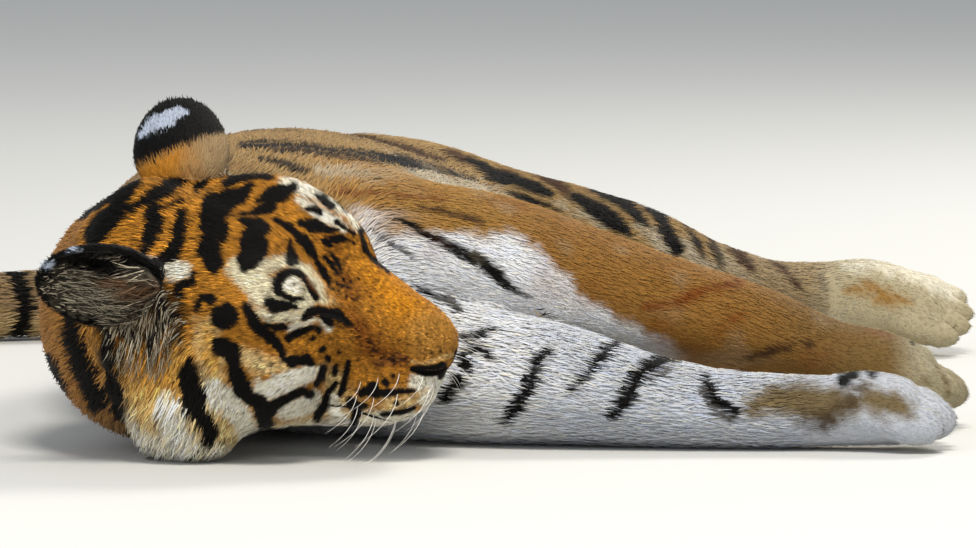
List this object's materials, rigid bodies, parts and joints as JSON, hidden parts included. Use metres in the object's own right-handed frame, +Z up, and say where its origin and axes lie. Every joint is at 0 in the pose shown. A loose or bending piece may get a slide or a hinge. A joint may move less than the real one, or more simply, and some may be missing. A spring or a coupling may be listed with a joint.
{
  "type": "siberian tiger",
  "caption": "Still, life-size model of a sleeping Siberian tigress on her right side, head turned along the floor and legs stretched out.",
  "frame": {"origin": "on the floor under the rib cage, in the flat on which the body rests", "axes": "+X from the back towards the paws, +Y from the head towards the tail, +Z up"},
  "size_m": [1.2521, 1.3818, 0.314],
  "materials": {
    "coat": "matte fur, orange above and white below, with black stripes",
    "ear_coat": "matte fur, black on the back of the ear with a white spot",
    "bare_skin": "bare skin of the lids, lips and nose, slightly moist"
  },
  "bodies": {
    "root": {"head": "coat", "eye_left": "bare_skin", "eye_right": "bare_skin", "ear_left": "ear_coat", "ear_right": "ear_coat", "torso": "coat", "neck": "coat", "foreleg_left": "coat", "foreleg_right": "coat", "hindleg_right": "coat", "hindleg_left": "coat", "tail": "coat"}
  },
  "joints": []
}
